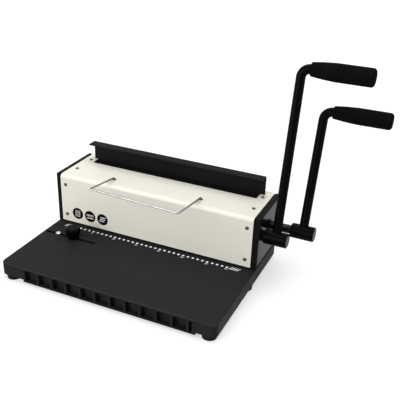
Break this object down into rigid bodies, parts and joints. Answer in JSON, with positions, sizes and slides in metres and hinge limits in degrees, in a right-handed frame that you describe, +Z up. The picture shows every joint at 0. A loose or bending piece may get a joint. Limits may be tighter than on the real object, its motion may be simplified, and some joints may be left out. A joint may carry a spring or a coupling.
{
  "type": "wire binding machine",
  "caption": "Desk machine that punches a row of holes along a stack of sheets with one lever and closes a wire binding with another.",
  "frame": {"origin": "middle of the bed's outline, on the surface that the feet stand on", "axes": "+X to the machine's right, where the levers are; -Y is the front, where the paper goes in; +Z up"},
  "size_m": [0.5224, 0.2722, 0.3521],
  "materials": {
    "bed_paint": "black fine-textured powder paint",
    "drawer_plastic": "black moulded plastic",
    "foot_rubber": "black rubber",
    "sheet_steel": "zinc-plated sheet",
    "end_plate_paint": "black, semi-gloss",
    "cover_paint": "ivory powder paint",
    "bar_paint": "black satin paint",
    "rod_steel": "bright wire",
    "tool_steel": "ground steel",
    "spring_steel": "spring steel",
    "shaft_steel": "blackened steel",
    "bush_polymer": "black plastic bearing",
    "frame_paint": "black dip paint",
    "nylon": "natural nylon",
    "lever_paint": "black satin paint",
    "grip_rubber": "matt black foam rubber",
    "knob_plastic": "black phenolic",
    "pin_steel": "bright plated"
  },
  "bodies": {
    "base": {"bed": "bed_paint", "rubber_feet": "foot_rubber", "drawer_rail_left": "sheet_steel", "drawer_rail_right": "sheet_steel", "side_frame_left": "frame_paint", "side_frame_right": "frame_paint", "end_plate_left": "end_plate_paint", "end_plate_right": "end_plate_paint", "front_top_cover": "cover_paint", "rear_cover": "cover_paint", "wire_rod": "rod_steel", "die_plate": "tool_steel", "stripper_plate": "tool_steel", "throat_spacer": "sheet_steel", "guide_posts": "tool_steel", "return_springs": "spring_steel", "closing_guide_left": "nylon", "closing_guide_right": "nylon", "closing_anvil": "bar_paint", "punch_shaft_bushes": "bush_polymer", "closing_shaft_bushes": "bush_polymer"},
    "punch_lever": {"punch_shaft": "shaft_steel", "punch_cams": "tool_steel", "punch_lever_hub": "lever_paint", "punch_lever_arm": "lever_paint", "punch_grip": "grip_rubber"},
    "punch_beam": {"punch_pins": "tool_steel", "pin_holder": "tool_steel", "pressure_beam": "tool_steel"},
    "closing_lever": {"closing_shaft": "shaft_steel", "closing_crank_left": "shaft_steel", "closing_crank_right": "shaft_steel", "closing_lever_hub": "lever_paint", "closing_lever_arm": "lever_paint", "closing_grip": "grip_rubber"},
    "closing_bar": {"closing_bar": "bar_paint", "closing_side_plate_left": "sheet_steel", "closing_side_plate_right": "sheet_steel"},
    "edge_guide": {"guide_slider": "sheet_steel", "guide_pin": "pin_steel"},
    "guide_knob": {"guide_knob": "knob_plastic"},
    "chip_drawer": {"chip_drawer_front": "drawer_plastic", "chip_drawer_tray": "sheet_steel"}
  },
  "joints": [
    {"name": "punch_lever_swing", "type": "hinge", "parent": "base", "child": "punch_lever", "pos_m": [0.2, 0.047, 0.083], "axis": [1, 0, 0], "range_deg": [0, 80]},
    {"name": "punch_beam_slide", "type": "slide", "parent": "base", "child": "punch_beam", "axis": [0, 0, -1], "range_m": [0, 0.0081], "stiffness_N_per_m": 1500, "springref_m": -0.01, "deforming": ["return_springs"]},
    {"name": "closing_lever_swing", "type": "hinge", "parent": "base", "child": "closing_lever", "pos_m": [0.2, 0.079, 0.0866], "axis": [1, 0, 0], "range_deg": [0, 92]},
    {"name": "closing_bar_slide", "type": "slide", "parent": "base", "child": "closing_bar", "axis": [0, 0, -1], "range_m": [0, 0.0246]},
    {"name": "edge_guide_slide", "type": "slide", "parent": "base", "child": "edge_guide", "axis": [1, 0, 0], "range_m": [-0.021, 0.039]},
    {"name": "guide_knob_turn", "type": "hinge", "parent": "edge_guide", "child": "guide_knob", "pos_m": [-0.1248, -0.0175, 0.04], "axis": [0, 0, 1], "range_deg": [0, 270]},
    {"name": "chip_drawer_slide", "type": "slide", "parent": "base", "child": "chip_drawer", "axis": [0, -1, 0], "range_m": [0, 0.15]}
  ],
  "couplings": [
    {"joint": "punch_beam_slide", "follows": "punch_lever_swing", "m_per_rad": 0.00573},
    {"joint": "closing_bar_slide", "follows": "closing_lever_swing", "m_per_rad": 0.015232}
  ]
}
